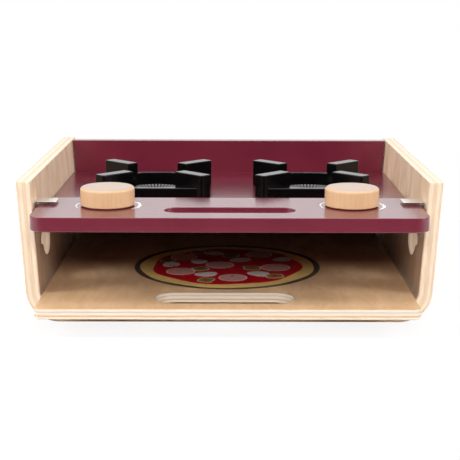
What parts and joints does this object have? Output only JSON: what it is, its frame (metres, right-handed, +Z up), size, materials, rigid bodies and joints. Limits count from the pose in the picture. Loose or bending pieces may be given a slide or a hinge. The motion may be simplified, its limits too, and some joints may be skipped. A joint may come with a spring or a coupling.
{
  "type": "toy oven",
  "caption": "Wooden table-top toy oven: a bent-plywood body with a lacquered hob, pan supports and turning knobs on its roof, and a pull-out pizza board in the open oven below.",
  "frame": {"origin": "under the middle of the whole toy, on the surface it stands on", "axes": "+X to the right seen from the open front, +Y to the back, +Z up"},
  "size_m": [0.36, 0.3476, 0.122],
  "materials": {
    "birch_ply": "clear matt lacquer on birch plywood",
    "maroon_lacquer": "semi-gloss maroon lacquer on plywood",
    "board_ply": "clear lacquer on birch plywood, with a printed pizza",
    "beech": "sanded beech, light oil",
    "black_plastic": "glossy black moulding",
    "nickel": "bright nickel plating",
    "zinc_screw": "zinc-plated steel",
    "felt": "dark felt"
  },
  "bodies": {
    "oven": {"shell": "birch_ply", "back_panel": "maroon_lacquer", "hob_panel": "maroon_lacquer", "front_rail": "maroon_lacquer", "hob_side_screws": "zinc_screw", "back_panel_screws": "zinc_screw", "rail_screws": "zinc_screw", "pan_support_screws": "zinc_screw", "burner_crown_screws": "zinc_screw", "clip_screws": "zinc_screw", "clip_right": "nickel", "clip_left": "nickel", "pan_support_left": "black_plastic", "burner_crown_left": "black_plastic", "pan_support_right": "black_plastic", "burner_crown_right": "black_plastic"},
    "board": {"pizza_board": "board_ply"},
    "knob_left_body": {"knob_left": "beech", "knob_felt_left": "felt", "knob_washer_left": "zinc_screw", "knob_screw_left": "zinc_screw"},
    "knob_right_body": {"knob_right": "beech", "knob_felt_right": "felt", "knob_washer_right": "zinc_screw", "knob_screw_right": "zinc_screw"}
  },
  "joints": [
    {"name": "board_slide", "type": "slide", "parent": "oven", "child": "board", "axis": [0, -1, 0], "range_m": [0, 0.269]},
    {"name": "knob_left_turn", "type": "hinge", "parent": "oven", "child": "knob_left_body", "pos_m": [-0.1036, -0.116, 0.1016], "axis": [0, 0, 1], "continuous": true},
    {"name": "knob_right_turn", "type": "hinge", "parent": "oven", "child": "knob_right_body", "pos_m": [0.1036, -0.116, 0.1016], "axis": [0, 0, 1], "continuous": true}
  ]
}
